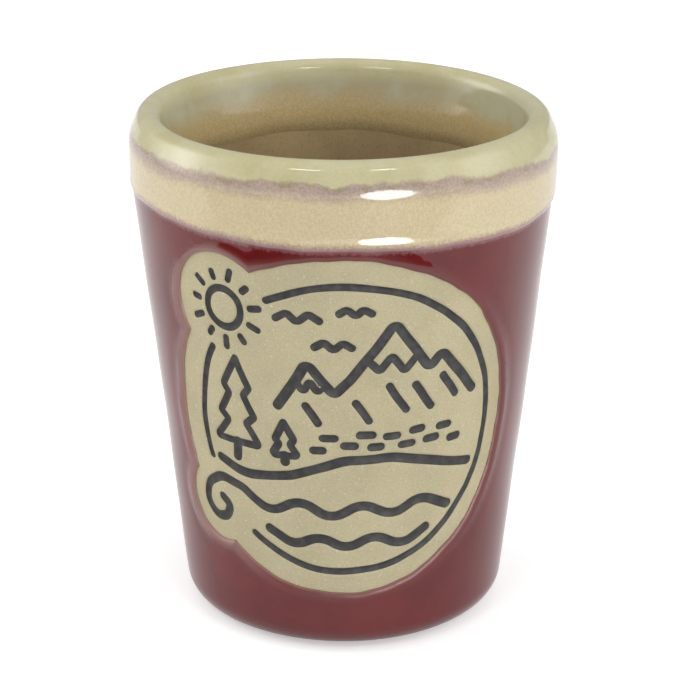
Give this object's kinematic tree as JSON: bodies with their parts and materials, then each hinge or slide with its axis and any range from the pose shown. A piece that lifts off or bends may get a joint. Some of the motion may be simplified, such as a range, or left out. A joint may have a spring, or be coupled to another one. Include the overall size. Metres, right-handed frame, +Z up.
{
  "type": "shot glass",
  "caption": "Small straight-sided stoneware drinking cup with a rolled rim, glazed inside and out, and an engraved round landscape emblem in bare clay on the front.",
  "frame": {"origin": "centre of the foot ring, on the plane the cup rests on", "axes": "+Z up along the cup's axis, -Y out through the middle of the emblem, +X to the viewer's right when facing the emblem"},
  "size_m": [0.0493, 0.0492, 0.0604],
  "materials": {
    "fired_clay": "bare fired clay, matt and fine-grained",
    "liner_glaze": "dark glossy liner",
    "burgundy_glaze": "glossy dark burgundy",
    "rim_glaze": "glossy speckled cream with a mottled mauve line",
    "stain": "dark grey stain, satin"
  },
  "bodies": {
    "root": {"stoneware_body": "fired_clay", "liner_glaze": "liner_glaze", "burgundy_glaze": "burgundy_glaze", "rim_glaze": "rim_glaze", "ring_stain": "stain", "sun_stain": "stain", "mountain_stain": "stain", "pine_stain": "stain", "gull_stain": "stain", "shore_stain": "stain", "pebble_stain": "stain", "wave_stain": "stain"}
  },
  "joints": []
}
